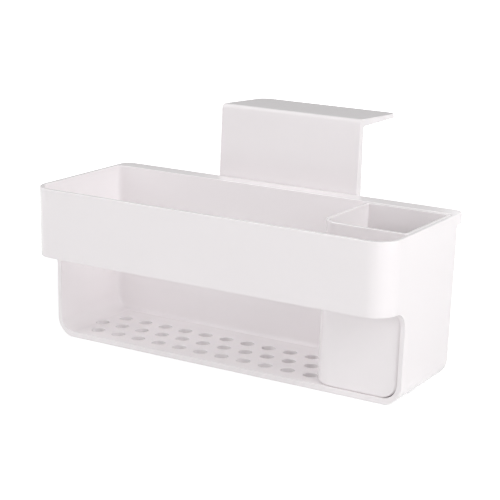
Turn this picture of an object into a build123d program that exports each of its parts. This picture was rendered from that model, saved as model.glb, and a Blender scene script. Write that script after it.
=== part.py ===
from build123d import *
import os
from math import radians, tan

os.makedirs("parts", exist_ok=True)

# Kitchen sink caddy: an open tray with a recessed lower shelf, a lift-out
# utensil cup in its right rear corner and a hanger clipped to its rear rim.
# Millimetres. +Z up, +X to the right as seen from the front, front face at -Y.
# The origin is on the base plane, midway along the overall length and depth.

# Tray body
body_length = 250.0
body_depth = 104.5
body_height = 103.0
wall = 2.8
floor_thickness = 3.6
draft_angle = 0.7
front_corner_radius = 15.0
rear_corner_radius = 2.5
rear_inner_radius = 3.0
base_side_radius = 12.5
base_rear_radius = 4.5
base_rear_fillet = 2.5

# Window under the front band
band_height = 44.1
window_setback = 26.8
window_corner_radius = 12.0

# Rear rim, a flat ledge with a skirt that hangs behind the rear wall
rim_overhang = 9.7
rim_thickness = 3.0
rim_corner_radius = 7.0
skirt_height = 6.5
skirt_thickness = 2.6
channel_corner_radius = 4.5

# Drain holes in the tray's floor, three staggered rows
hole_diameter = 8.5
hole_pitch = 15.85
hole_row_pitch = 15.7
hole_front_margin = 13.3
hole_pattern_shift = 1.8
hole_rows = 3
hole_side_margin = 12.0

# Utensil cup
cup_length = 56.6
cup_wall = 2.0
cup_floor = 2.4
cup_clearance = 0.4
cup_front_setback = 2.2
cup_below_rim = 0.2
cup_corner_radius = 12.0
cup_small_radius = 2.4
cup_base_left_radius = 2.4
cup_base_front_radius = 1.0
cup_hole_diameter = 5.0
cup_hole_pitch = 14.0
cup_hole_columns = 3
cup_hole_rows = 3

# Hanger bracket, an L with a J-shaped clip at its foot
hanger_width = 101.5
hanger_rise = 47.5
hanger_lean = 1.6
hanger_reach = 54.0
plate_thickness = 6.2
flange_root_thickness = 5.0
flange_tip_thickness = 2.3
flange_corner_radius = 8.0
hanger_bend_radius = 3.0
hanger_inner_radius = 2.0
clip_gap = 0.5
clip_foot_thickness = 3.0
clip_leg_thickness = 2.8
clip_corner_radius = 1.5

# Non-slip pad under the hanger's flange
pad_thickness = 1.2
pad_margin = 6.0
pad_corner_radius = 4.0

# One overrun serves every cut
overrun = 5.0

# Places worked out from the sizes above
overall_depth = body_depth + clip_gap + hanger_lean + hanger_reach
front_y = -overall_depth / 2
rim_back_y = front_y + body_depth
rear_wall_y = rim_back_y - rim_overhang
window_y = front_y + window_setback
band_bottom_z = body_height - band_height
draft_slope = tan(radians(draft_angle))
half_length = body_length / 2
holes_in_long_row = int((body_length - 2 * hole_side_margin) / hole_pitch) + 1
cup_base_right_radius = base_side_radius - wall + cup_clearance
cup_base_rear_radius = base_rear_fillet + cup_clearance


def rounded_plan(left, right, front, rear, front_radii, rear_radii):
    """Face seen from above; radii are (left, right) pairs."""
    corners = (
        (left, front, front_radii[0]),
        (right, front, front_radii[1]),
        (right, rear, rear_radii[1]),
        (left, rear, rear_radii[0]),
    )
    plan = Pos((left + right) / 2, (front + rear) / 2) * Rectangle(right - left, rear - front)
    for x, y, radius in corners:
        if radius > 0:
            corner = plan.vertices().sort_by_distance((x, y, 0))[0]
            plan = fillet(corner, radius)
    return plan


def stacked(low_plan, low_z, high_plan, high_z):
    """Solid between two plans of like corners at two heights."""
    faces = [Pos(0, 0, low_z) * low_plan, Pos(0, 0, high_z) * high_plan]
    return loft([face.face() for face in faces], ruled=True)


def rounded_section(points, radii):
    """Closed outline; radii holds one radius for each point, zero for a sharp one."""
    section = make_face(Polyline(*points, close=True))
    for point, radius in zip(points, radii):
        if radius > 0:
            corner = section.vertices().sort_by_distance((point[0], point[1], 0))[0]
            section = fillet(corner, radius)
    return section


def across_x(section, low_x, high_x):
    """Extrude a section drawn as (y, z) along X."""
    plane = Plane(origin=(low_x, 0, 0), x_dir=(0, 1, 0), z_dir=(1, 0, 0))
    return extrude(plane * section, amount=high_x - low_x)


def along_y(section, low_y, high_y):
    """Extrude a section drawn as (x, z) along Y."""
    plane = Plane(origin=(0, high_y, 0), x_dir=(1, 0, 0), z_dir=(0, -1, 0))
    return extrude(plane * section, amount=high_y - low_y)


def lean(z):
    """How far the drafted skin lies inside the rim outline at a height."""
    return (body_height - z) * draft_slope


def tray_plan(inset, rear_corner, z):
    """The tray's plan at a height, inset from its outer skin."""
    side = half_length - lean(z) - inset
    front = front_y + lean(z) + inset
    rear = rear_wall_y - lean(z) - inset
    front_corner = front_corner_radius - inset
    return rounded_plan(-side, side, front, rear, (front_corner, front_corner), (rear_corner, rear_corner))


def tray_block(inset, rear_corner, rear_edge, low_z, high_z):
    """Drafted block of the tray with its rounded upright corners and base edges."""
    low_plan = tray_plan(inset, rear_corner, low_z)
    high_plan = tray_plan(inset, rear_corner, high_z)
    block = stacked(low_plan, low_z, high_plan, high_z)
    low_side = half_length - lean(low_z) - inset
    high_side = half_length - lean(high_z) - inset
    side_radius = base_side_radius - inset
    u_points = [(-low_side, low_z), (low_side, low_z), (high_side, high_z), (-high_side, high_z)]
    u_section = rounded_section(u_points, (side_radius, side_radius, 0, 0))
    block = block & along_y(u_section, front_y - overrun, rear_wall_y + overrun)
    low_rear = rear_wall_y - lean(low_z) - inset
    high_rear = rear_wall_y - lean(high_z) - inset
    far_front = front_y - overrun
    l_points = [(far_front, low_z), (low_rear, low_z), (high_rear, high_z), (far_front, high_z)]
    l_section = rounded_section(l_points, (0, rear_edge, 0, 0))
    return block & across_x(l_section, -half_length - overrun, half_length + overrun)


def rim_plan(inset, front, radius, z):
    """The rear rim's plan at a height, from a front line to its rounded back."""
    side = half_length - lean(z) - inset
    rear = rim_back_y - lean(z) - inset
    return rounded_plan(-side, side, front, rear, (0, 0), (radius, radius))


def rear_rim():
    """Ledge and skirt, with the open channel under the ledge."""
    skirt_z = body_height - skirt_height
    ledge_z = body_height - rim_thickness
    in_wall_y = rear_wall_y - wall / 2
    low_plan = rim_plan(0, in_wall_y, rim_corner_radius, skirt_z)
    high_plan = rim_plan(0, in_wall_y, rim_corner_radius, body_height)
    rim = stacked(low_plan, skirt_z, high_plan, body_height)
    low_z = skirt_z - overrun
    low_plan = rim_plan(skirt_thickness, rear_wall_y - lean(low_z), channel_corner_radius, low_z)
    high_plan = rim_plan(skirt_thickness, rear_wall_y - lean(ledge_z), channel_corner_radius, ledge_z)
    return rim - stacked(low_plan, low_z, high_plan, ledge_z)


def window_cutter():
    """Clears the front below the band, back to the window plane."""
    far_front = front_y - overrun
    points = [(far_front, -overrun), (window_y, -overrun), (window_y, band_bottom_z), (far_front, band_bottom_z)]
    section = rounded_section(points, (0, 0, window_corner_radius, 0))
    return across_x(section, -half_length - overrun, half_length + overrun)


def drain_holes():
    """Cutters for the staggered drain holes."""
    cutters = []
    for row in range(hole_rows):
        count = holes_in_long_row - (row + 1) % 2
        y = window_y + hole_front_margin + row * hole_row_pitch
        for index in range(count):
            x = hole_pattern_shift + (index - (count - 1) / 2) * hole_pitch
            cutter = Cylinder(hole_diameter / 2, floor_thickness + 4 * overrun)
            cutters.append(Pos(x, y, floor_thickness / 2) * cutter)
    return cutters


def caddy_body():
    """One moulding: tray, front band, lower shelf and rear rim."""
    body = tray_block(0, rear_corner_radius, base_rear_radius, 0, body_height) + rear_rim()
    inside = tray_block(wall, rear_inner_radius, base_rear_fillet, floor_thickness, body_height + overrun)
    body = body - inside
    body = body - window_cutter()
    return body - drain_holes()


def cup_sides(inset, z):
    """The cup's left and right faces at a height; both lean like the tray's right wall."""
    right = half_length - wall - cup_clearance - lean(z)
    return right - cup_length + inset, right - inset


def cup_ends(inset, z):
    """The cup's front and rear faces at a height; both lean like the tray's rear wall."""
    front = window_y + cup_front_setback - lean(z)
    rear = rear_wall_y - wall - cup_clearance - lean(z)
    return front + inset, rear - inset


def cup_block(inset, low_z, high_z):
    """Cup skin between two heights, inset from its outer faces."""
    low_left, low_right = cup_sides(inset, low_z)
    high_left, high_right = cup_sides(inset, high_z)
    low_front, low_rear = cup_ends(inset, low_z)
    high_front, high_rear = cup_ends(inset, high_z)
    corner = cup_corner_radius - inset
    small = cup_small_radius - inset
    plan = rounded_plan(low_left, low_right, low_front, low_rear, (corner, small), (small, small))
    upward = Vector(high_left - low_left, high_front - low_front, high_z - low_z)
    block = extrude(Pos(0, 0, low_z) * plan, amount=upward.length, dir=upward.normalized())
    left_radius = cup_base_left_radius - inset
    right_radius = cup_base_right_radius - inset
    points = [(low_left, low_z), (low_right, low_z), (high_right, high_z), (high_left, high_z)]
    section = rounded_section(points, (left_radius, right_radius, 0, 0))
    block = block & along_y(section, low_front - overrun, high_rear + overrun)
    front_radius = cup_base_front_radius - inset
    rear_radius = cup_base_rear_radius - inset
    points = [(low_front, low_z), (low_rear, low_z), (high_rear, high_z), (high_front, high_z)]
    section = rounded_section(points, (front_radius, rear_radius, 0, 0))
    return block & across_x(section, low_left - overrun, high_right + overrun)


def utensil_cup():
    """Lift-out cup with drain holes in its floor."""
    top_z = body_height - cup_below_rim
    cup = cup_block(0, floor_thickness, top_z)
    cup = cup - cup_block(cup_wall, floor_thickness + cup_floor, top_z + overrun)
    centre_x = sum(cup_sides(0, floor_thickness)) / 2
    centre_y = sum(cup_ends(0, floor_thickness)) / 2
    cutters = []
    for column in range(cup_hole_columns):
        for row in range(cup_hole_rows):
            x = centre_x + (column - (cup_hole_columns - 1) / 2) * cup_hole_pitch
            y = centre_y + (row - (cup_hole_rows - 1) / 2) * cup_hole_pitch
            cutter = Cylinder(cup_hole_diameter / 2, cup_floor + 2 * overrun)
            cutters.append(Pos(x, y, floor_thickness + cup_floor / 2) * cutter)
    return cup - cutters


def hanger_bracket():
    """Flange, leaning plate and the clip round the rim's skirt."""
    face_y = rim_back_y + clip_gap
    back_y = face_y + plate_thickness
    top_face_y = face_y + hanger_lean
    tip_y = top_face_y + hanger_reach
    bend_z = body_height + hanger_rise
    under_z = bend_z - flange_root_thickness
    clip_top_z = body_height - skirt_height - clip_gap
    clip_base_z = clip_top_z - clip_foot_thickness
    leg_rear_y = rim_back_y - skirt_thickness - clip_gap - lean(clip_top_z)
    leg_front_y = leg_rear_y - clip_leg_thickness
    leg_top_z = body_height - rim_thickness
    points = [
        (leg_front_y, clip_base_z),
        (back_y, clip_base_z),
        (back_y, under_z),
        (tip_y, under_z),
        (tip_y, under_z + flange_tip_thickness),
        (top_face_y, bend_z),
        (face_y, body_height),
        (face_y, clip_top_z),
        (leg_rear_y, clip_top_z),
        (leg_rear_y, leg_top_z),
        (leg_front_y, leg_top_z),
    ]
    corner = clip_corner_radius
    radii = (corner, corner, hanger_inner_radius, 0, 0, hanger_bend_radius, 0, 0, 0, 0, 0)
    section = rounded_section(points, radii)
    bracket = across_x(section, -hanger_width / 2, hanger_width / 2)
    tip_corners = bracket.edges().filter_by(Axis.Z).group_by(Axis.Y)[-1]
    return fillet(tip_corners, flange_corner_radius)


def flange_grip_pad():
    """Flat foam strip stuck under the flange."""
    face_y = rim_back_y + clip_gap
    front = face_y + plate_thickness + pad_margin
    rear = face_y + hanger_lean + hanger_reach - pad_margin
    side = hanger_width / 2 - pad_margin
    radii = (pad_corner_radius, pad_corner_radius)
    top_z = body_height + hanger_rise - flange_root_thickness
    plan = rounded_plan(-side, side, front, rear, radii, radii)
    return extrude(Pos(0, 0, top_z - pad_thickness) * plan, amount=pad_thickness)


NODES = {
    "caddy_body": caddy_body,
    "utensil_cup": utensil_cup,
    "hanger_bracket": hanger_bracket,
    "flange_grip_pad": flange_grip_pad,
}

for node, make in NODES.items():
    export_step(make(), f"parts/{node}.step")
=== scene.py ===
from math import cos, pi, radians, sin, sqrt, tan

import bmesh
import bpy
from bpy.props import FloatProperty, FloatVectorProperty, IntProperty, PointerProperty
from mathutils import Matrix, Vector


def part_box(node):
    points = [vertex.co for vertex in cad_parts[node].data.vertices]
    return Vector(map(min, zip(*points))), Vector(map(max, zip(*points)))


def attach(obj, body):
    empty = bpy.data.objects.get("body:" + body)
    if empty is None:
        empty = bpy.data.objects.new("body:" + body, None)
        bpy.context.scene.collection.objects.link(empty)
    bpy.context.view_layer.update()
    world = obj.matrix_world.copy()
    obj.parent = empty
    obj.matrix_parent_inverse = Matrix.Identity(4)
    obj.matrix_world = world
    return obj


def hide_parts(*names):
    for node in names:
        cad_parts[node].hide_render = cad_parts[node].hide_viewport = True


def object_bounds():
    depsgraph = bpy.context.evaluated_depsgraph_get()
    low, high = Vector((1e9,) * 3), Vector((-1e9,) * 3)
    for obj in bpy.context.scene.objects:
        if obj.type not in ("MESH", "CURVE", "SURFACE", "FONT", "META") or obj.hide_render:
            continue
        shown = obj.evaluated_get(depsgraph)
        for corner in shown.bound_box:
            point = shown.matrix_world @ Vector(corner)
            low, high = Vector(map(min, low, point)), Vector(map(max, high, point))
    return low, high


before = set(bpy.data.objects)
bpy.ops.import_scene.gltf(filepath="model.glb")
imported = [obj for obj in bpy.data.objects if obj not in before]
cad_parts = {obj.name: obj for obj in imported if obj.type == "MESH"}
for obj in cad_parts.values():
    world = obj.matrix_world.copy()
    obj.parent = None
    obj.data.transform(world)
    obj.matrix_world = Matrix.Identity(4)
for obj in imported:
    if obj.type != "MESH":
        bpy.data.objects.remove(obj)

bl_info = {
    "name": "Sink Caddy",
    "version": (1, 0, 0),
    "blender": (4, 5, 0),
    "location": "3D View > Sidebar > Sink Caddy",
    "description": "Moulded sink caddy with a lift-out cup and a clip-on hanger",
    "category": "Object",
}

CAD_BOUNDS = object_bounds()
BODY_LOW, BODY_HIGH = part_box("caddy_body")
CUP_LOW, CUP_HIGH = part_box("utensil_cup")
HANGER_LOW, HANGER_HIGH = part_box("hanger_bracket")
PAD_LOW, PAD_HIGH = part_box("flange_grip_pad")

MM = 0.001
OVERRUN = 5 * MM
SKIN_GAP = 0.02 * MM
LEAST_RADIUS = 0.3 * MM
WELD = 0.001 * MM
CORNER_STEPS = 20
BEND_STEPS = 10
EDGE_STEPS = 4
TRAY_HOLE_STEPS = 36
CUP_HOLE_STEPS = 28
CLOUDS_PER_METRE = 14.0
RIPPLES_PER_METRE = 160.0
GRAINS_PER_METRE = 900.0
FOAM_CLOUDS_PER_METRE = 60.0
PORES_PER_METRE = 1400.0
LAMPS = (
    ("Front lamp", "front_power", -10, 5),
    ("Right lamp", "right_power", 80, 30),
    ("Left lamp", "left_power", -70, 30),
    ("Corner lamp", "corner_power", 50, 30),
    ("High lamp", "high_power", -70, 60),
    ("Rear lamp", "rear_power", 180, 15),
)


def millimetres(name, value, description):
    """A length property whose default is given in metres."""
    return FloatProperty(
        name=name,
        description=description,
        default=value,
        min=0,
        precision=5,
        subtype="DISTANCE",
        unit="LENGTH",
    )


def colour(name, value, description):
    """A colour property."""
    return FloatVectorProperty(
        name=name,
        description=description,
        default=value,
        size=3,
        min=0,
        max=1,
        subtype="COLOR",
    )


def plain(name, value, description):
    """A number property without a unit."""
    return FloatProperty(name=name, description=description, default=value, precision=4)


def angle(name, value, description):
    """An angle property whose default is given in degrees."""
    return FloatProperty(
        name=name,
        description=description,
        default=radians(value),
        subtype="ANGLE",
        unit="ROTATION",
    )


class TraySizes(bpy.types.PropertyGroup):
    """Sizes of the tray moulding."""

    wall: millimetres("Wall", 2.8 * MM, "Thickness of the side, front and rear walls")
    floor: millimetres("Floor", 3.6 * MM, "Thickness of the floor")
    draft: angle("Draft", 0.7, "Lean of the walls away from the mould's pull")
    front_corner: millimetres("Front corner", 15 * MM, "Outer radius of the front corners")
    rear_corner: millimetres("Rear corner", 2.5 * MM, "Outer radius of the rear wall's corners")
    rear_inner: millimetres("Rear inner corner", 3 * MM, "Inner radius of the rear wall's corners")
    base_side: millimetres("Base side", 12.5 * MM, "Outer radius of the base's side edges")
    base_rear: millimetres("Base rear", 4.5 * MM, "Outer radius of the base's rear edge")
    rear_fillet: millimetres("Rear fillet", 2.5 * MM, "Inner radius between the floor and the rear wall")
    lip_round: millimetres("Lip rounding", 0.5 * MM, "Radius of the rounding along the tray's lip")
    edge_round: millimetres("Edge rounding", 0.55 * MM, "Width of the rounding along cut edges")
    band: millimetres("Band", 44.1 * MM, "Height of the front band")
    setback: millimetres("Window setback", 26.8 * MM, "Depth from the band's face to the window's plane")
    window_corner: millimetres("Window corner", 12 * MM, "Radius of the window's upper corner")
    rim_overhang: millimetres("Rim overhang", 9.7 * MM, "Reach of the rear rim behind the rear wall")
    rim_thickness: millimetres("Rim thickness", 3 * MM, "Thickness of the rear rim's ledge")
    rim_corner: millimetres("Rim corner", 7 * MM, "Outer radius of the rear rim's corners")
    skirt_height: millimetres("Skirt height", 6.5 * MM, "Height of the rear rim's skirt, with the ledge")
    skirt_wall: millimetres("Skirt wall", 2.6 * MM, "Thickness of the skirt")
    channel_corner: millimetres("Channel corner", 4.5 * MM, "Radius of the corners inside the skirt")


class DrainSizes(bpy.types.PropertyGroup):
    """Sizes of the drain holes in the tray's floor and in the cup's."""

    hole: millimetres("Hole", 8.5 * MM, "Diameter of a drain hole in the tray")
    pitch: millimetres("Pitch", 15.85 * MM, "Distance between holes in a row")
    row_pitch: millimetres("Row pitch", 15.7 * MM, "Distance between rows")
    front_margin: millimetres("Front margin", 13.3 * MM, "From the window's plane to the first row")
    shift: millimetres("Shift", 1.8 * MM, "How far the pattern's middle lies right of the tray's")
    rows: IntProperty(name="Rows", description="Number of rows", default=3, min=1)
    columns: IntProperty(name="Columns", description="Holes in the long row", default=15, min=1)
    hole_round: millimetres("Hole rounding", 0.45 * MM, "Radius of the rounding round each hole")
    cup_hole: millimetres("Cup hole", 5 * MM, "Diameter of a drain hole in the cup")
    cup_pitch: millimetres("Cup pitch", 14 * MM, "Distance between the cup's holes")
    cup_rows: IntProperty(name="Cup rows", description="Rows and columns in the cup", default=3, min=1)


class CupSizes(bpy.types.PropertyGroup):
    """Sizes of the lift-out cup."""

    wall: millimetres("Wall", 2 * MM, "Thickness of the cup's walls")
    floor: millimetres("Floor", 2.4 * MM, "Thickness of the cup's floor")
    length: millimetres("Length", 56.6 * MM, "Length of the cup, from its left face to its right one")
    clearance: millimetres("Clearance", 0.4 * MM, "Gap between the cup and the tray's walls")
    setback: millimetres("Setback", 2.2 * MM, "From the window's plane to the cup's lip")
    front_left: millimetres("Front left corner", 12 * MM, "Outer radius of the large corner")
    corner: millimetres("Other corners", 2.4 * MM, "Outer radius of the other upright corners")
    base_left: millimetres("Base left", 2.4 * MM, "Outer radius of the base's left edge")
    base_front: millimetres("Base front", 1 * MM, "Outer radius of the base's front edge")
    lip_round: millimetres("Lip rounding", 0.4 * MM, "Radius of the rounding along the cup's lip")


class HangerSizes(bpy.types.PropertyGroup):
    """Sizes of the hanger bracket and of the pad under its flange."""

    plate: millimetres("Plate", 6.2 * MM, "Thickness of the plate at the rim")
    lean: millimetres("Lean", 1.6 * MM, "How far the plate's face leans back between rim and bend")
    gap: millimetres("Clip gap", 0.5 * MM, "Clearance between the clip and the rim")
    foot: millimetres("Clip foot", 3 * MM, "Thickness of the clip's foot")
    leg: millimetres("Clip leg", 2.8 * MM, "Thickness of the clip's leg")
    clip_corner: millimetres("Clip corner", 1.5 * MM, "Outer radius of the clip's lower corners")
    flange_root: millimetres("Flange root", 5 * MM, "Thickness of the flange at the bend")
    flange_tip: millimetres("Flange tip", 2.3 * MM, "Thickness of the flange at its rear edge")
    bend: millimetres("Bend", 3 * MM, "Outer radius of the bend")
    inner_bend: millimetres("Inner bend", 2 * MM, "Radius of the bend's inside")
    tip_corner: millimetres("Flange corner", 8 * MM, "Radius of the flange's rear corners")
    edge_round: millimetres("Edge rounding", 0.55 * MM, "Width of the bracket's edge rounding")
    pad_corner: millimetres("Pad corner", 4 * MM, "Radius of the pad's corners")
    pad_round: millimetres("Pad rounding", 0.4 * MM, "Rounding along the pad's lower edge")


class Finish(bpy.types.PropertyGroup):
    """Colours and gloss of the mouldings and of the pad."""

    plastic: colour("Plastic", (0.955, 0.918, 0.930), "Colour of the white plastic")
    plastic_shade: colour("Plastic shade", (0.940, 0.902, 0.914), "Colour of its slightly darker clouds")
    # The hanger's plastic is darker than the tray's: partly its own slightly darker tone, partly painted
    # shade on its plate.
    hanger: colour("Hanger plastic", (0.905, 0.868, 0.880), "Colour of the hanger's plastic")
    hanger_shade: colour("Hanger plastic shade", (0.890, 0.852, 0.864), "Colour of its darker clouds")
    gloss: plain("Gloss roughness", 0.18, "Roughness of the moulded plastic")
    ripple: plain("Ripple", 0.08, "Strength of the ripple that the mould's polish leaves")
    pad: colour("Pad", (0.36, 0.36, 0.37), "Colour of the foam strip")
    pad_shade: colour("Pad shade", (0.27, 0.27, 0.28), "Colour of the foam strip's pores")
    pad_roughness: plain("Pad roughness", 0.72, "Least roughness of the foam strip")


class StageLook(bpy.types.PropertyGroup):
    """Camera, lamps, floor and grey card, a glowing sheet that only reflections see: a painted
    reflection.
    """

    azimuth: angle("Azimuth", 30.5, "Camera's place round the caddy, from its front towards its right")
    elevation: angle("Elevation", 14.21, "Camera's height above the horizon")
    roll: angle("Roll", 1.52, "Camera's roll")
    distance: millimetres("Distance", 1022.3 * MM, "From the aim point to the camera")
    lens: plain("Lens", 111.6, "Focal length in millimetres on a 36 mm sensor")
    aim: FloatVectorProperty(
        name="Aim",
        description="Point that the camera looks at",
        default=(-0.0260, 0.0252, 0.0556),
        subtype="XYZ",
    )
    ambient: plain("Ambient", 0.21, "Strength of the even light from all round")
    front_power: plain("Front lamp", 4.0, "Power of the low lamp in front, in watts")
    right_power: plain("Right lamp", 9.1, "Power of the lamp on the right, in watts")
    left_power: plain("Left lamp", 4.9, "Power of the lamp on the left, in watts")
    corner_power: plain("Corner lamp", 3.1, "Power of the lamp off the right front corner, in watts")
    high_power: plain("High lamp", 3.6, "Power of the lamp high on the left, in watts")
    rear_power: plain("Rear lamp", 3.0, "Power of the lamp behind the caddy, in watts")
    lamp_distance: millimetres("Lamp distance", 1.4, "From the caddy's middle to each lamp")
    lamp_size: millimetres("Lamp size", 0.9, "Side of each square lamp")
    floor_half: millimetres("Floor half", 6.0, "Half the floor's side")
    floor_drop: millimetres("Floor drop", 0.2 * MM, "How far the floor lies below the caddy's base")
    floor_shade: plain("Floor shade", 0.86, "Brightness of the floor's own colour")
    floor_glow: plain("Floor glow", 0.9, "Lift of the far floor towards white, as the camera sees it")
    floor_near: plain("Floor near", 0.5, "Share of that glow near the caddy, where its shadow lies")
    # The patch under the base gets no glow: partly real shadow, partly painted shadow under the caddy.
    painted_shadow_inset: millimetres("Shade inset", 10 * MM, "From the base's edges to the patch without glow")
    painted_shadow_edge: millimetres("Shade edge", 10 * MM, "Width of that patch's soft edge")
    glow_start: millimetres("Glow start", 0.25, "From that patch to where the glow starts to grow")
    glow_full: millimetres("Glow full", 1.0, "From that patch to where the glow is full")
    # Painted reflection: the grey card glows but lights nothing and casts no shadow; only glossy rays
    # see it.
    painted_reflection_shade: plain("Card", 0.42, "Brightness of the grey card, which only reflections show")
    card_distance: millimetres("Card distance", 1.4, "From the caddy's middle to the grey card")
    card_half: millimetres("Card half width", 1.6, "Half the grey card's width")
    card_height: millimetres("Card height", 1.0, "Height of the grey card")


# Meshes from outlines and rings

def tuck(rise, radius):
    """How far a rounded base edge lies inside the wall at a height above the base."""
    if rise >= radius:
        return 0.0
    return radius - sqrt(radius**2 - (radius - max(rise, 0.0)) ** 2)


def rises(radii, steps):
    """Heights at which rounded base edges of these radii get a ring."""
    found = {0.0}
    for radius in radii:
        for step in range(1, steps + 1):
            found.add(round(radius * (1 - cos(pi / 2 * step / steps)), 7))
    return sorted(found)


def outline(left, right, front, rear, radii, steps=CORNER_STEPS):
    """Rounded rectangle seen from above; radii run front left, front right, rear right, rear left."""
    front_left, front_right, rear_right, rear_left = (max(radius, LEAST_RADIUS) for radius in radii)
    corners = (
        (left + front_left, front + front_left, front_left, pi),
        (right - front_right, front + front_right, front_right, 1.5 * pi),
        (right - rear_right, rear - rear_right, rear_right, 0.0),
        (left + rear_left, rear - rear_left, rear_left, 0.5 * pi),
    )
    points = []
    for x, y, radius, start in corners:
        for step in range(steps + 1):
            turn = start + pi / 2 * step / steps
            points.append((x + radius * cos(turn), y + radius * sin(turn)))
    return points


def rectangle(half, front, rear):
    """Plain rectangle for a cutter, as wide on the left as on the right."""
    return outline(-half, half, front, rear, (0.0, 0.0, 0.0, 0.0), 1)


def show(name, data):
    """New object in the scene for a mesh, a lamp or a camera."""
    item = bpy.data.objects.new(name, data)
    bpy.context.scene.collection.objects.link(item)
    return item


def finished_object(name, mesh):
    """Object at the origin from a bmesh, with doubles merged and faces outwards."""
    bmesh.ops.remove_doubles(mesh, verts=mesh.verts, dist=WELD)
    bmesh.ops.recalc_face_normals(mesh, faces=mesh.faces)
    data = bpy.data.meshes.new(name)
    mesh.to_mesh(data)
    mesh.free()
    return show(name, data)


def join_loops(mesh, low, high):
    """Quads between two closed loops of vertices."""
    count = len(low)
    for index in range(count):
        after = (index + 1) % count
        mesh.faces.new((low[index], low[after], high[after], high[index]))


def ring_solid(name, rings):
    """Closed mesh object through rings of (outline, height), capped at both ends."""
    mesh = bmesh.new()
    loops = [[mesh.verts.new((x, y, z)) for x, y in points] for points, z in rings]
    for low, high in zip(loops, loops[1:]):
        join_loops(mesh, low, high)
    mesh.faces.new(list(reversed(loops[0])))
    mesh.faces.new(loops[-1])
    return finished_object(name, mesh)


def turned_plug(name, profile, steps):
    """Closed mesh object from a profile of (radius, height), turned round Z."""
    turns = [2 * pi * step / steps for step in range(steps)]
    rings = []
    for radius, height in profile:
        rings.append(([(radius * cos(turn), radius * sin(turn)) for turn in turns], height))
    return ring_solid(name, rings)


def rounded_path(corners, steps):
    """Closed outline through corners of (a, b, radius), with an arc at each rounded one."""
    points = []
    count = len(corners)
    for index, (a, b, radius) in enumerate(corners):
        corner = Vector((a, b))
        if radius <= 0:
            points.append(corner)
            continue
        back = (Vector(corners[index - 1][:2]) - corner).normalized()
        on = (Vector(corners[(index + 1) % count][:2]) - corner).normalized()
        half = back.angle(on) / 2
        centre = corner + (back + on).normalized() * radius / sin(half)
        start = corner + back * radius / tan(half) - centre
        sweep = start.angle_signed(corner + on * radius / tan(half) - centre)
        for step in range(steps + 1):
            points.append(centre + Matrix.Rotation(-sweep * step / steps, 2) @ start)
    return points


def bar_across(name, section, left, right):
    """Closed mesh object from a section of (y, z), run along X."""
    mesh = bmesh.new()
    start, end = [[mesh.verts.new((x, y, z)) for y, z in section] for x in (left, right)]
    join_loops(mesh, start, end)
    mesh.faces.new(start)
    mesh.faces.new(list(reversed(end)))
    return finished_object(name, mesh)


def settle(piece):
    """Turn a piece and its modifiers into a plain mesh."""
    graph = bpy.context.evaluated_depsgraph_get()
    data = bpy.data.meshes.new_from_object(piece.evaluated_get(graph), depsgraph=graph)
    piece.modifiers.clear()
    piece.data = data
    return piece


def carve(piece, cutter):
    """Cut one solid out of another and drop the cutter."""
    cut = piece.modifiers.new("Cut", "BOOLEAN")
    cut.operation = "DIFFERENCE"
    cut.solver = "EXACT"
    cut.object = cutter
    settle(piece)
    bpy.data.objects.remove(cutter)
    return piece


def round_edges(piece, width, sharper_than=40):
    """Round every edge that is sharper than an angle in degrees."""
    bevel = piece.modifiers.new("Rounding", "BEVEL")
    bevel.width = width
    bevel.segments = 3
    bevel.limit_method = "ANGLE"
    bevel.angle_limit = radians(sharper_than)
    bevel.miter_outer = "MITER_ARC"
    bevel.use_clamp_overlap = True
    return settle(piece)


def smooth_skin(piece):
    """Smooth shading that leaves the flat faces flat."""
    for face in piece.data.polygons:
        face.use_smooth = True
    weights = piece.modifiers.new("Flat faces", "WEIGHTED_NORMAL")
    weights.mode = "FACE_AREA"
    weights.weight = 80
    weights.keep_sharp = True
    return settle(piece)


# Node trees

class Signal:
    """A shader socket that can be used in sums; each sum adds its Math node."""

    def __init__(self, tree, socket):
        self.tree = tree
        self.socket = socket

    def combine(self, operation, first, second):
        maths = self.tree.nodes.new("ShaderNodeMath")
        maths.operation = operation
        for place, value in enumerate((first, second)):
            if isinstance(value, Signal):
                self.tree.links.new(value.socket, maths.inputs[place])
            else:
                maths.inputs[place].default_value = value
        return Signal(self.tree, maths.outputs[0])

    def __add__(self, other):
        return self.combine("ADD", self, other)

    def __radd__(self, other):
        return self.combine("ADD", other, self)

    def __mul__(self, other):
        return self.combine("MULTIPLY", self, other)

    def __rmul__(self, other):
        return self.combine("MULTIPLY", other, self)


class Weave:
    """Adds nodes to a tree: a type, its settings, and values or links for its sockets."""

    def __init__(self, tree):
        self.tree = tree
        tree.nodes.clear()

    def add(self, kind, settings=None, output=0, **sockets):
        node = self.tree.nodes.new(kind)
        for key, value in (settings or {}).items():
            if key == "stops":
                self.set_stops(node.color_ramp, value)
            else:
                setattr(node, key, value)
        for key, value in sockets.items():
            socket = self.find(node, key)
            if isinstance(value, Signal):
                self.tree.links.new(value.socket, socket)
            else:
                socket.default_value = value
        return Signal(self.tree, node.outputs[output]) if node.outputs else node

    @staticmethod
    def find(node, key):
        """The enabled input with this name in lower case and underscores, or at_ and its place."""
        if key.startswith("at_"):
            return node.inputs[int(key[3:])]
        for socket in node.inputs:
            if socket.enabled and socket.name.lower().replace(" ", "_") == key:
                return socket
        raise KeyError(f"{node.bl_idname} has no input {key}")

    @staticmethod
    def set_stops(ramp, stops):
        while len(ramp.elements) < len(stops):
            ramp.elements.new(0.5)
        for element, (place, shade) in zip(ramp.elements, stops):
            element.position = place
            element.color = shade


def opaque(shade):
    """Colour with full alpha."""
    return (shade[0], shade[1], shade[2], 1.0)


def grey(level):
    """Grey of one level, with full alpha."""
    return opaque((level, level, level))


def blank_material(name):
    """New material with an empty node tree, and the weave that fills it."""
    material = bpy.data.materials.new(name)
    material.use_nodes = True
    return material, Weave(material.node_tree)


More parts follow.
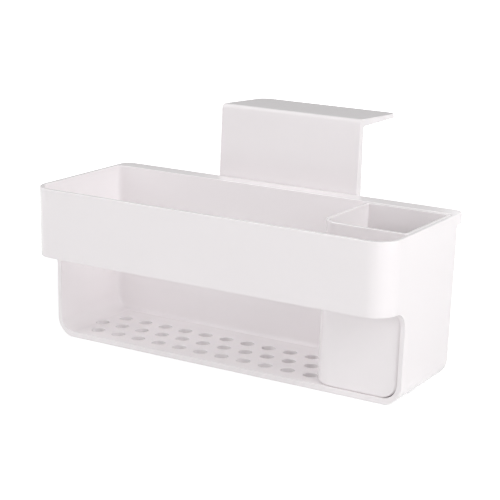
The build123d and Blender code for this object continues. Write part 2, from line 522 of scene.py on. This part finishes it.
def noise(weave, place, scale, detail, roughness):
    """Soft random pattern from 0 to 1; scale is in patches a metre."""
    sockets = {"vector": place, "scale": scale, "detail": detail, "roughness": roughness}
    return weave.add("ShaderNodeTexNoise", **sockets)


def moulded_plastic(name, finish, plastic, shade):
    """Glossy white plastic with faint cloudiness and the slight ripple of a mould's polish."""
    material, weave = blank_material(name)
    place = weave.add("ShaderNodeTexCoord", output=3)
    cloud = noise(weave, place, CLOUDS_PER_METRE, 3.0, 0.5)
    grain = noise(weave, place, GRAINS_PER_METRE, 2.0, 0.6)
    ripple = noise(weave, place, RIPPLES_PER_METRE, 1.0, 0.4)
    base = weave.add(
        "ShaderNodeMix",
        {"data_type": "RGBA"},
        output=2,
        factor=cloud,
        a=opaque(plastic),
        b=opaque(shade),
    )
    roughness = finish.gloss - 0.03 + 0.05 * cloud + 0.02 * grain
    height = 0.7 * ripple + 0.3 * grain
    bump = weave.add("ShaderNodeBump", height=height, strength=finish.ripple, distance=0.05 * MM)
    shader = weave.add(
        "ShaderNodeBsdfPrincipled",
        base_color=base,
        roughness=roughness,
        normal=bump,
        ior=1.5,
    )
    weave.add("ShaderNodeOutputMaterial", surface=shader)
    return material


def foam_rubber(name, finish):
    """Matt closed-cell foam with fine pores."""
    material, weave = blank_material(name)
    place = weave.add("ShaderNodeTexCoord", output=3)
    pores = weave.add(
        "ShaderNodeTexVoronoi",
        {"feature": "F1"},
        vector=place,
        scale=PORES_PER_METRE,
        randomness=1.0,
    )
    cloud = noise(weave, place, FOAM_CLOUDS_PER_METRE, 4.0, 0.6)
    base = weave.add(
        "ShaderNodeMix",
        {"data_type": "RGBA"},
        output=2,
        factor=0.6 * pores + 0.4 * cloud,
        a=opaque(finish.pad_shade),
        b=opaque(finish.pad),
    )
    bump = weave.add("ShaderNodeBump", height=pores, strength=0.5, distance=0.1 * MM)
    shader = weave.add(
        "ShaderNodeBsdfPrincipled",
        base_color=base,
        roughness=finish.pad_roughness + 0.15 * cloud,
        normal=bump,
        ior=1.45,
    )
    weave.add("ShaderNodeOutputMaterial", surface=shader)
    return material


# Perforations

def perforation_tree(plug, material):
    """Geometry Nodes that cut a grid of plugs, with every other row staggered, out of a floor."""
    tree = bpy.data.node_groups.new("Drain holes", "GeometryNodeTree")
    face = tree.interface
    face.new_socket("Geometry", in_out="INPUT", socket_type="NodeSocketGeometry")
    face.new_socket("Plug", in_out="INPUT", socket_type="NodeSocketObject")
    for title in ("Columns", "Rows"):
        face.new_socket(title, in_out="INPUT", socket_type="NodeSocketInt")
    for title in ("Pitch", "Row pitch", "Middle X", "Middle Y", "Stagger"):
        face.new_socket(title, in_out="INPUT", socket_type="NodeSocketFloat")
    face.new_socket("Material", in_out="INPUT", socket_type="NodeSocketMaterial")
    face.new_socket("Geometry", in_out="OUTPUT", socket_type="NodeSocketGeometry")
    nodes, links = tree.nodes, tree.links

    def maths(operation, first, second=None):
        node = nodes.new("ShaderNodeMath")
        node.operation = operation
        for place, value in enumerate((first, second)):
            if value is None:
                continue
            if isinstance(value, (int, float)):
                node.inputs[place].default_value = value
            else:
                links.new(value, node.inputs[place])
        return node.outputs[0]

    given = nodes.new("NodeGroupInput").outputs
    grid = nodes.new("GeometryNodeMeshGrid")
    links.new(given["Columns"], grid.inputs["Vertices X"])
    links.new(given["Rows"], grid.inputs["Vertices Y"])
    column_gaps = maths("SUBTRACT", given["Columns"], 1)
    row_gaps = maths("SUBTRACT", given["Rows"], 1)
    links.new(maths("MULTIPLY", given["Pitch"], column_gaps), grid.inputs["Size X"])
    links.new(maths("MULTIPLY", given["Row pitch"], row_gaps), grid.inputs["Size Y"])

    # Every other row, counted from the first, is staggered and loses its last hole.
    where = nodes.new("ShaderNodeSeparateXYZ")
    links.new(nodes.new("GeometryNodeInputPosition").outputs[0], where.inputs[0])
    rows_off_middle = maths("DIVIDE", where.outputs["Y"], given["Row pitch"])
    row = maths("ROUND", maths("ADD", rows_off_middle, maths("MULTIPLY", row_gaps, 0.5)))
    even = maths("SUBTRACT", 1.0, maths("MODULO", row, 2.0))
    staggered = maths("MULTIPLY", even, given["Stagger"])
    before_last = maths("SUBTRACT", maths("DIVIDE", given["Columns"], 2), 0.75)
    last_x = maths("MULTIPLY", given["Pitch"], before_last)
    at_end = maths("GREATER_THAN", where.outputs["X"], last_x)
    spare = maths("MULTIPLY", at_end, maths("GREATER_THAN", staggered, 0.0))

    trim = nodes.new("GeometryNodeDeleteGeometry")
    trim.domain = "POINT"
    links.new(grid.outputs["Mesh"], trim.inputs["Geometry"])
    links.new(spare, trim.inputs["Selection"])

    offset = nodes.new("ShaderNodeCombineXYZ")
    shifted = maths("ADD", given["Middle X"], maths("MULTIPLY", staggered, given["Pitch"]))
    links.new(shifted, offset.inputs["X"])
    links.new(given["Middle Y"], offset.inputs["Y"])
    move = nodes.new("GeometryNodeSetPosition")
    links.new(trim.outputs["Geometry"], move.inputs["Geometry"])
    links.new(offset.outputs[0], move.inputs["Offset"])

    prototype = nodes.new("GeometryNodeObjectInfo")
    links.new(given["Plug"], prototype.inputs["Object"])
    copies = nodes.new("GeometryNodeInstanceOnPoints")
    links.new(move.outputs["Geometry"], copies.inputs["Points"])
    links.new(prototype.outputs["Geometry"], copies.inputs["Instance"])
    plugs = nodes.new("GeometryNodeRealizeInstances")
    links.new(copies.outputs["Instances"], plugs.inputs["Geometry"])

    cut = nodes.new("GeometryNodeMeshBoolean")
    cut.operation = "DIFFERENCE"
    cut.solver = "EXACT"
    links.new(given["Geometry"], cut.inputs["Mesh 1"])
    links.new(plugs.outputs["Geometry"], cut.inputs["Mesh 2"])
    whole = nodes.new("GeometryNodeRealizeInstances")
    links.new(cut.outputs["Mesh"], whole.inputs["Geometry"])
    paint = nodes.new("GeometryNodeSetMaterial")
    links.new(whole.outputs["Geometry"], paint.inputs["Geometry"])
    links.new(given["Material"], paint.inputs["Material"])
    result = nodes.new("NodeGroupOutput")
    links.new(paint.outputs["Geometry"], result.inputs["Geometry"])
    return tree


def plug_profile(radius, round_radius, low, high):
    """Profile of a plug whose hole in a floor from low to high has rounded edges at both faces."""
    wide = radius + round_radius
    profile = [(wide, low - OVERRUN)]
    for step in range(EDGE_STEPS + 1):
        turn = pi / 2 * step / EDGE_STEPS
        profile.append((wide - round_radius * sin(turn), low - WELD + round_radius * (1 - cos(turn))))
    for step in range(EDGE_STEPS + 1):
        turn = pi / 2 * (1 - step / EDGE_STEPS)
        profile.append((wide - round_radius * sin(turn), high + WELD - round_radius * (1 - cos(turn))))
    profile.append((wide, high + OVERRUN))
    return profile


def perforate(piece, material, plug, values):
    """Run the drain hole nodes on a piece and keep the result as a plain mesh."""
    tree = perforation_tree(plug, material)
    cutter = piece.modifiers.new("Drain holes", "NODES")
    cutter.node_group = tree
    values = dict(values, Plug=plug, Material=material)
    for item in tree.interface.items_tree:
        if item.item_type == "SOCKET" and item.in_out == "INPUT" and item.name in values:
            cutter[item.identifier] = values[item.name]
    settle(piece)
    bpy.data.objects.remove(plug)
    bpy.data.node_groups.remove(tree)
    return piece


# Tray

def tray_frame(sizes):
    """Places that the tray's parts share, from the frame and the sizes."""
    half_length = (BODY_HIGH[0] - BODY_LOW[0]) / 2
    rim_back = BODY_HIGH[1]
    return {
        "half_length": half_length,
        "front": BODY_LOW[1],
        "rim_back": rim_back,
        "rear_wall": rim_back - sizes.rim_overhang,
        "top": BODY_HIGH[2],
        "slope": tan(sizes.draft),
        "window": BODY_LOW[1] + sizes.setback,
        "band_bottom": BODY_HIGH[2] - sizes.band,
    }


def tray_ring(sizes, places, z, inset, rear, rear_corner, base=None, rear_radius=0.0, side_radius=0.0):
    """Outline of a tray skin at a height; base is the level its rounded edges start from."""
    lean = (places["top"] - z) * places["slope"]
    rise = z - base if base is not None else z + OVERRUN
    side = places["half_length"] - lean - inset - tuck(rise, side_radius)
    front = places["front"] + lean + inset
    back = rear - lean - inset - tuck(rise, rear_radius)
    front_corner = sizes.front_corner - inset
    return outline(-side, side, front, back, (front_corner, front_corner, rear_corner, rear_corner)), z


def tray_shell(sizes, places):
    """The tray as one skin: up the outside, over the lip and down the inside."""
    top = places["top"]
    rim_back = places["rim_back"]
    rear_wall = places["rear_wall"]
    lip = sizes.lip_round
    rings = []
    base_edge = {"base": 0.0, "side_radius": sizes.base_side}
    for rise in rises((sizes.base_side, sizes.base_rear), CORNER_STEPS):
        rings.append(tray_ring(sizes, places, rise, 0.0, rim_back, sizes.rim_corner, **base_edge))
    for step in range(EDGE_STEPS + 1):
        turn = pi / 2 * step / EDGE_STEPS
        inset = lip * (1 - cos(turn))
        z = top - lip * (1 - sin(turn))
        rings.append(tray_ring(sizes, places, z, inset, rim_back, sizes.rim_corner - inset))
    for step in range(EDGE_STEPS + 1):
        turn = pi / 2 * (1 - step / EDGE_STEPS)
        wider = lip * (1 - cos(turn))
        z = top - lip * (1 - sin(turn))
        corner = sizes.rear_inner + wider
        rings.append(tray_ring(sizes, places, z, sizes.wall - wider, rear_wall, corner))
    side_fillet = sizes.base_side - sizes.wall
    for rise in reversed(rises((side_fillet, sizes.rear_fillet), CORNER_STEPS)):
        ring = tray_ring(
            sizes,
            places,
            sizes.floor + rise,
            sizes.wall,
            rear_wall,
            sizes.rear_inner,
            base=sizes.floor,
            rear_radius=sizes.rear_fillet,
            side_radius=side_fillet,
        )
        rings.append(ring)
    return ring_solid("caddy_tray", rings)


def behind_the_wall(sizes, places):
    """Cutter that shapes the rear wall's outside, the skirt and the channel under the rim."""
    ledge = places["top"] - sizes.rim_thickness
    skirt = places["top"] - sizes.skirt_height
    wide = places["half_length"] + 2 * OVERRUN
    start = places["rear_wall"] - 2 * OVERRUN
    end = places["rim_back"] + 2 * OVERRUN
    block = rectangle(wide, start, end)
    cutter = ring_solid("behind", [(block, -OVERRUN), (block, ledge)])

    rings = []
    heights = rises((sizes.base_side, sizes.base_rear), CORNER_STEPS)
    for rise in heights + [places["top"] + OVERRUN]:
        ring = tray_ring(
            sizes,
            places,
            rise,
            -SKIN_GAP,
            places["rear_wall"] - SKIN_GAP,
            sizes.rear_corner,
            base=0.0,
            rear_radius=sizes.base_rear,
            side_radius=sizes.base_side,
        )
        rings.append(ring)
    rings[0] = (rings[0][0], -SKIN_GAP)
    carve(cutter, ring_solid("tray_core", rings))

    block = rectangle(wide + OVERRUN, start - OVERRUN, end + OVERRUN)
    keep = ring_solid("skirt_keep", [(block, skirt), (block, ledge + OVERRUN)])
    rings = []
    for z in (skirt - OVERRUN, ledge + 2 * OVERRUN):
        lean = (places["top"] - z) * places["slope"]
        side = places["half_length"] - lean - sizes.skirt_wall
        back = places["rim_back"] - lean - sizes.skirt_wall
        corners = (0.0, 0.0, sizes.channel_corner, sizes.channel_corner)
        rings.append((outline(-side, side, start - 2 * OVERRUN, back, corners), z))
    carve(keep, ring_solid("channel", rings))
    return carve(cutter, keep)


def window_cutter(sizes, places):
    """Cutter that opens the front below the band."""
    ahead = places["front"] - OVERRUN
    low = -OVERRUN
    section = rounded_path(
        (
            (ahead, low, 0.0),
            (places["window"], low, 0.0),
            (places["window"], places["band_bottom"], sizes.window_corner),
            (ahead, places["band_bottom"], 0.0),
        ),
        CORNER_STEPS,
    )
    wide = places["half_length"] + OVERRUN
    return bar_across("window", section, -wide, wide)


class CADDY_OT_tray(bpy.types.Operator):
    """Build the tray: band, walls, drained floor and rear rim"""

    bl_idname = "caddy.tray"
    bl_label = "Tray"

    def execute(self, context):
        sizes = context.scene.caddy_tray
        drain = context.scene.caddy_drain
        places = tray_frame(sizes)
        finish = context.scene.caddy_finish
        material = moulded_plastic("White plastic, tray", finish, finish.plastic, finish.plastic_shade)
        tray = tray_shell(sizes, places)
        carve(tray, behind_the_wall(sizes, places))
        carve(tray, window_cutter(sizes, places))
        round_edges(tray, sizes.edge_round)
        profile = plug_profile(drain.hole / 2, drain.hole_round, 0.0, sizes.floor)
        plug = turned_plug("plug", profile, TRAY_HOLE_STEPS)
        middle_y = places["window"] + drain.front_margin + drain.row_pitch * (drain.rows - 1) / 2
        perforate(
            tray,
            material,
            plug,
            {
                "Columns": drain.columns,
                "Rows": drain.rows,
                "Pitch": drain.pitch,
                "Row pitch": drain.row_pitch,
                "Middle X": drain.shift,
                "Middle Y": middle_y,
                "Stagger": 0.5,
            },
        )
        smooth_skin(tray)
        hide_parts("caddy_body")
        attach(tray, "caddy")
        return {"FINISHED"}


# Cup

def cup_ring(sizes, places, z, inset, base, radii):
    """Outline of the cup's skin at a height; radii are the base's at its left, right, front and rear."""
    lean = (places["top"] - z) * places["slope"]
    at_left, at_right, at_front, at_rear = (tuck(z - base, radius) for radius in radii)
    left = places["left"] - lean + inset + at_left
    right = places["right"] - lean - inset - at_right
    front = places["front"] - lean + inset + at_front
    rear = places["rear"] - lean - inset - at_rear
    small = sizes.corner - inset
    return outline(left, right, front, rear, (sizes.front_left - inset, small, small, small)), z


def cup_shell(sizes, tray, places):
    """The cup as one skin: up the outside, over the lip and down the inside."""
    lip = sizes.lip_round
    top = places["top"]
    base = places["base"]
    beside_wall = tray.base_side - tray.wall + sizes.clearance
    behind = tray.rear_fillet + sizes.clearance
    outer = (sizes.base_left, beside_wall, sizes.base_front, behind)
    rings = []
    for rise in rises(outer, CORNER_STEPS):
        rings.append(cup_ring(sizes, places, base + rise, 0.0, base, outer))
    for step in range(EDGE_STEPS + 1):
        turn = pi / 2 * step / EDGE_STEPS
        z = top - lip * (1 - sin(turn))
        rings.append(cup_ring(sizes, places, z, lip * (1 - cos(turn)), base, outer))
    for step in range(EDGE_STEPS + 1):
        turn = pi / 2 * (1 - step / EDGE_STEPS)
        z = top - lip * (1 - sin(turn))
        rings.append(cup_ring(sizes, places, z, sizes.wall - lip * (1 - cos(turn)), base, outer))
    inner_base = base + sizes.floor
    inner = [max(radius - sizes.wall, 0.0) for radius in outer]
    for rise in reversed(rises(inner, CORNER_STEPS)):
        rings.append(cup_ring(sizes, places, inner_base + rise, sizes.wall, inner_base, inner))
    return ring_solid("utensil_cup_shell", rings)


class CADDY_OT_cup(bpy.types.Operator):
    """Build the lift-out utensil cup"""

    bl_idname = "caddy.cup"
    bl_label = "Cup"

    def execute(self, context):
        sizes = context.scene.caddy_cup
        tray = context.scene.caddy_tray
        drain = context.scene.caddy_drain
        places = {
            "left": CUP_HIGH[0] - sizes.length,
            "right": CUP_HIGH[0],
            "front": BODY_LOW[1] + tray.setback + sizes.setback,
            "rear": CUP_HIGH[1],
            "base": CUP_LOW[2],
            "top": CUP_HIGH[2],
            "slope": tan(tray.draft),
        }
        finish = context.scene.caddy_finish
        material = moulded_plastic("White plastic, cup", finish, finish.plastic, finish.plastic_shade)
        cup = cup_shell(sizes, tray, places)
        floor_top = places["base"] + sizes.floor
        lean = (places["top"] - places["base"]) * places["slope"]
        profile = plug_profile(drain.cup_hole / 2, drain.hole_round, places["base"], floor_top)
        plug = turned_plug("plug", profile, CUP_HOLE_STEPS)
        perforate(
            cup,
            material,
            plug,
            {
                "Columns": drain.cup_rows,
                "Rows": drain.cup_rows,
                "Pitch": drain.cup_pitch,
                "Row pitch": drain.cup_pitch,
                "Middle X": (places["left"] + places["right"]) / 2 - lean,
                "Middle Y": (places["front"] + places["rear"]) / 2 - lean,
                "Stagger": 0.0,
            },
        )
        smooth_skin(cup)
        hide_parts("utensil_cup")
        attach(cup, "cup")
        return {"FINISHED"}


# Hanger

def hanger_section(sizes, tray):
    """Side view of the hanger: flange, leaning plate and clip."""
    rim_top = BODY_HIGH[2]
    rim_back = BODY_HIGH[1]
    face = rim_back + sizes.gap
    back = face + sizes.plate
    under = PAD_HIGH[2]
    bend_z = under + sizes.flange_root
    tip = HANGER_HIGH[1]
    clip_top = rim_top - tray.skirt_height - sizes.gap
    clip_base = clip_top - sizes.foot
    lean = (rim_top - clip_top) * tan(tray.draft)
    leg_rear = rim_back - tray.skirt_wall - sizes.gap - lean
    leg_front = leg_rear - sizes.leg
    leg_top = rim_top - tray.rim_thickness
    return rounded_path(
        (
            (leg_front, clip_base, sizes.clip_corner),
            (back, clip_base, sizes.clip_corner),
            (back, under, sizes.inner_bend),
            (tip, under, 0.0),
            (tip, under + sizes.flange_tip, 0.0),
            (face + sizes.lean, bend_z, sizes.bend),
            (face, rim_top, 0.0),
            (face, clip_top, 0.0),
            (leg_rear, clip_top, 0.0),
            (leg_rear, leg_top, 0.0),
            (leg_front, leg_top, 0.0),
        ),
        BEND_STEPS,
    )


def round_tip_corners(bracket, radius):
    """Round the flange's two rear corners, seen from above."""
    mesh = bmesh.new()
    mesh.from_mesh(bracket.data)
    tip = max(vert.co.y for vert in mesh.verts)
    upright = []
    for edge in mesh.edges:
        low, high = edge.verts
        at_tip = min(low.co.y, high.co.y) > tip - WELD
        if at_tip and abs(low.co.z - high.co.z) > WELD and abs(low.co.x - high.co.x) < WELD:
            upright.append(edge)
    bmesh.ops.bevel(
        mesh,
        geom=upright,
        offset=radius,
        offset_type="OFFSET",
        segments=16,
        profile=0.5,
        affect="EDGES",
    )
    mesh.to_mesh(bracket.data)
    mesh.free()
    return bracket


class CADDY_OT_hanger(bpy.types.Operator):
    """Build the hanger bracket that clips under the rear rim"""

    bl_idname = "caddy.hanger"
    bl_label = "Hanger"

    def execute(self, context):
        sizes = context.scene.caddy_hanger
        tray = context.scene.caddy_tray
        bracket = bar_across("hanger", hanger_section(sizes, tray), HANGER_LOW[0], HANGER_HIGH[0])
        round_tip_corners(bracket, sizes.tip_corner)
        round_edges(bracket, sizes.edge_round)
        smooth_skin(bracket)
        finish = context.scene.caddy_finish
        # Darker hanger plastic: partly its own tone, partly painted shade.
        material = moulded_plastic("White plastic, hanger", finish, finish.hanger, finish.hanger_shade)
        bracket.data.materials.append(material)
        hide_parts("hanger_bracket")
        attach(bracket, "hanger")
        return {"FINISHED"}


class CADDY_OT_pad(bpy.types.Operator):
    """Build the grip pad under the hanger's flange"""

    bl_idname = "caddy.pad"
    bl_label = "Grip pad"

    def execute(self, context):
        sizes = context.scene.caddy_hanger
        rings = []
        for step in range(EDGE_STEPS + 1):
            turn = pi / 2 * step / EDGE_STEPS
            inset = sizes.pad_round * (1 - sin(turn))
            z = PAD_LOW[2] + sizes.pad_round * (1 - cos(turn))
            corner = sizes.pad_corner - inset
            edges = (PAD_LOW[0] + inset, PAD_HIGH[0] - inset, PAD_LOW[1] + inset, PAD_HIGH[1] - inset)
            rings.append((outline(*edges, (corner,) * 4), z))
        rings.append((rings[-1][0], PAD_HIGH[2]))
        pad = ring_solid("grip_strip", rings)
        smooth_skin(pad)
        pad.data.materials.append(foam_rubber("Foam rubber", context.scene.caddy_finish))
        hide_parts("flange_grip_pad")
        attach(pad, "hanger")
        return {"FINISHED"}


# Stage

def camera_axes(look):
    """The camera's right, up and backward directions."""
    a, e, r = look.azimuth, look.elevation, look.roll
    back = Vector((sin(a) * cos(e), -cos(a) * cos(e), sin(e)))
    level = Vector((cos(a), sin(a), 0.0))
    upright = back.cross(level)
    right = level * cos(r) + upright * sin(r)
    return right, back.cross(right), back


def set_camera(look):
    """Camera at the photograph's viewing angle."""
    right, up, back = camera_axes(look)
    data = bpy.data.cameras.new("View")
    data.lens = look.lens
    data.sensor_width = 36.0
    data.clip_end = 50.0
    camera = show("View", data)
    turn = Matrix((right, up, back)).transposed().to_4x4()
    camera.matrix_world = Matrix.Translation(Vector(look.aim) + back * look.distance) @ turn
    bpy.context.scene.camera = camera


def soft_lamp(name, look, azimuth, elevation, power):
    """Square area lamp round the caddy, from its front towards its right, facing its middle."""
    middle = Vector((0.0, 0.0, (CAD_BOUNDS[0][2] + CAD_BOUNDS[1][2]) / 2))
    a, e = radians(azimuth), radians(elevation)
    away = Vector((sin(a) * cos(e), -cos(a) * cos(e), sin(e)))
    data = bpy.data.lights.new(name, "AREA")
    data.shape = "SQUARE"
    data.size = look.lamp_size
    data.energy = power
    lamp = show(name, data)
    lamp.location = middle + away * look.lamp_distance
    lamp.rotation_euler = away.to_track_quat("Z", "Y").to_euler()


def seen_directly(weave):
    """One where the camera, a reflection or a clear material looks, and nought for lighting rays."""
    path = weave.add("ShaderNodeLightPath")
    rays = {socket.name: Signal(weave.tree, socket) for socket in path.socket.node.outputs}
    return rays["Is Camera Ray"] + rays["Is Glossy Ray"] + rays["Is Transmission Ray"]


def set_world(look):
    """Even light all round, white where the camera or a reflection sees it."""
    world = bpy.data.worlds.new("Studio")
    world.use_nodes = True
    bpy.context.scene.world = world
    weave = Weave(world.node_tree)
    strength = look.ambient + (1.0 - look.ambient) * seen_directly(weave)
    light = weave.add("ShaderNodeBackground", color=grey(1.0), strength=strength)
    weave.add("ShaderNodeOutputWorld", surface=light)


def white_floor(look, tray):
    """Pale floor that keeps the caddy's shadow and looks white to the camera.

    Its glow grows with the distance from a rectangular patch under the base, which gets none: there the
    floor shows its real shadow without the lift, partly real shadow and partly painted shadow.
    """
    material, weave = blank_material("White floor")
    places = tray_frame(tray)
    middle = (0.0, (places["window"] + places["rear_wall"]) / 2, 0.0)
    half_depth = (places["rear_wall"] - places["window"]) / 2
    half_width = places["half_length"] - tray.base_side
    half = (half_width - look.painted_shadow_inset, half_depth - look.painted_shadow_inset, 0.0)

    def vector_maths(operation, vector, other=(0.0, 0.0, 0.0), output=0):
        settings = {"operation": operation}
        return weave.add("ShaderNodeVectorMath", settings, output, vector=vector, at_1=other)

    place = weave.add("ShaderNodeTexCoord", output=3)
    off_middle = vector_maths("ABSOLUTE", vector_maths("SUBTRACT", place, middle))
    beyond = vector_maths("MAXIMUM", vector_maths("SUBTRACT", off_middle, half))
    distance = vector_maths("LENGTH", beyond, output=1)
    # No glow on the patch under the base: a painted shadow on top of the real one.
    stops = (
        (0.0, grey(0.0)),
        (look.painted_shadow_edge, grey(look.floor_near)),
        (look.glow_start, grey(look.floor_near)),
        (look.glow_full, grey(1.0)),
    )
    glow = weave.add("ShaderNodeValToRGB", {"stops": stops}, fac=distance)
    shader = weave.add(
        "ShaderNodeBsdfPrincipled",
        base_color=grey(look.floor_shade),
        roughness=0.9,
        emission_color=glow,
        emission_strength=seen_directly(weave) * look.floor_glow,
    )
    weave.add("ShaderNodeOutputMaterial", surface=shader)
    return material


def flat_object(name, corners, material):
    """Object of one face through four corners."""
    data = bpy.data.meshes.new(name)
    data.from_pydata(corners, [], [(0, 1, 2, 3)])
    data.materials.append(material)
    return show(name, data)


def reflection_only_card(look):
    """Upright glowing card across from the camera that only reflections see: a painted reflection, so
    that level faces mirror a dimmer room.
    """
    away = Vector((-sin(look.azimuth), cos(look.azimuth), 0.0))
    across = Vector((cos(look.azimuth), sin(look.azimuth), 0.0)) * look.card_half
    foot = away * look.card_distance
    head = foot + Vector((0.0, 0.0, look.card_height))
    material, weave = blank_material("Grey card")
    shade = weave.add("ShaderNodeEmission", color=grey(1.0), strength=look.painted_reflection_shade)
    weave.add("ShaderNodeOutputMaterial", surface=shade)
    corners = [foot - across, foot + across, head + across, head - across]
    card = flat_object("Grey card", corners, material)
    # Only reflections see the card: its glow is a painted reflection on the caddy's level faces.
    card.visible_camera = False
    card.visible_diffuse = False
    card.visible_transmission = False
    card.visible_shadow = False


class CADDY_OT_stage(bpy.types.Operator):
    """Set up the floor, the lamps and the camera"""

    bl_idname = "caddy.stage"
    bl_label = "Stage"

    def execute(self, context):
        look = context.scene.caddy_stage
        half = look.floor_half
        sides = ((-half, -half), (half, -half), (half, half), (-half, half))
        corners = [(x, y, -look.floor_drop) for x, y in sides]
        floor = flat_object("Floor", corners, white_floor(look, context.scene.caddy_tray))
        for name, power, azimuth, elevation in LAMPS:
            soft_lamp(name, look, azimuth, elevation, getattr(look, power))
        set_world(look)
        reflection_only_card(look)
        set_camera(look)
        context.scene.view_settings.view_transform = "Standard"
        return {"FINISHED"}


class CADDY_PT_panel(bpy.types.Panel):
    """Lists the caddy's pieces and their sizes"""

    bl_idname = "CADDY_PT_panel"
    bl_label = "Sink Caddy"
    bl_space_type = "VIEW_3D"
    bl_region_type = "UI"
    bl_category = "Sink Caddy"

    def draw(self, context):
        layout = self.layout
        for group, operators in PANEL_ROWS:
            box = layout.box()
            sizes = getattr(context.scene, group)
            for name in sizes.bl_rna.properties.keys():
                if name not in {"rna_type", "name"}:
                    box.prop(sizes, name)
            for operator in operators:
                box.operator(operator)


GROUPS = {
    "caddy_tray": TraySizes,
    "caddy_drain": DrainSizes,
    "caddy_cup": CupSizes,
    "caddy_hanger": HangerSizes,
    "caddy_finish": Finish,
    "caddy_stage": StageLook,
}
PANEL_ROWS = (
    ("caddy_tray", ("caddy.tray",)),
    ("caddy_drain", ()),
    ("caddy_cup", ("caddy.cup",)),
    ("caddy_hanger", ("caddy.hanger", "caddy.pad")),
    ("caddy_finish", ()),
    ("caddy_stage", ("caddy.stage",)),
)
OPERATORS = (CADDY_OT_tray, CADDY_OT_cup, CADDY_OT_hanger, CADDY_OT_pad, CADDY_OT_stage)


def register():
    for group in GROUPS.values():
        bpy.utils.register_class(group)
    for operator in OPERATORS:
        bpy.utils.register_class(operator)
    bpy.utils.register_class(CADDY_PT_panel)
    for name, group in GROUPS.items():
        setattr(bpy.types.Scene, name, PointerProperty(type=group))


def unregister():
    for name in GROUPS:
        delattr(bpy.types.Scene, name)
    bpy.utils.unregister_class(CADDY_PT_panel)
    for operator in reversed(OPERATORS):
        bpy.utils.unregister_class(operator)
    for group in reversed(list(GROUPS.values())):
        bpy.utils.unregister_class(group)


def main():
    register()
    bpy.ops.caddy.tray()
    bpy.ops.caddy.cup()
    bpy.ops.caddy.hanger()
    bpy.ops.caddy.pad()
    bpy.ops.caddy.stage()


if __name__ == "__main__":
    main()
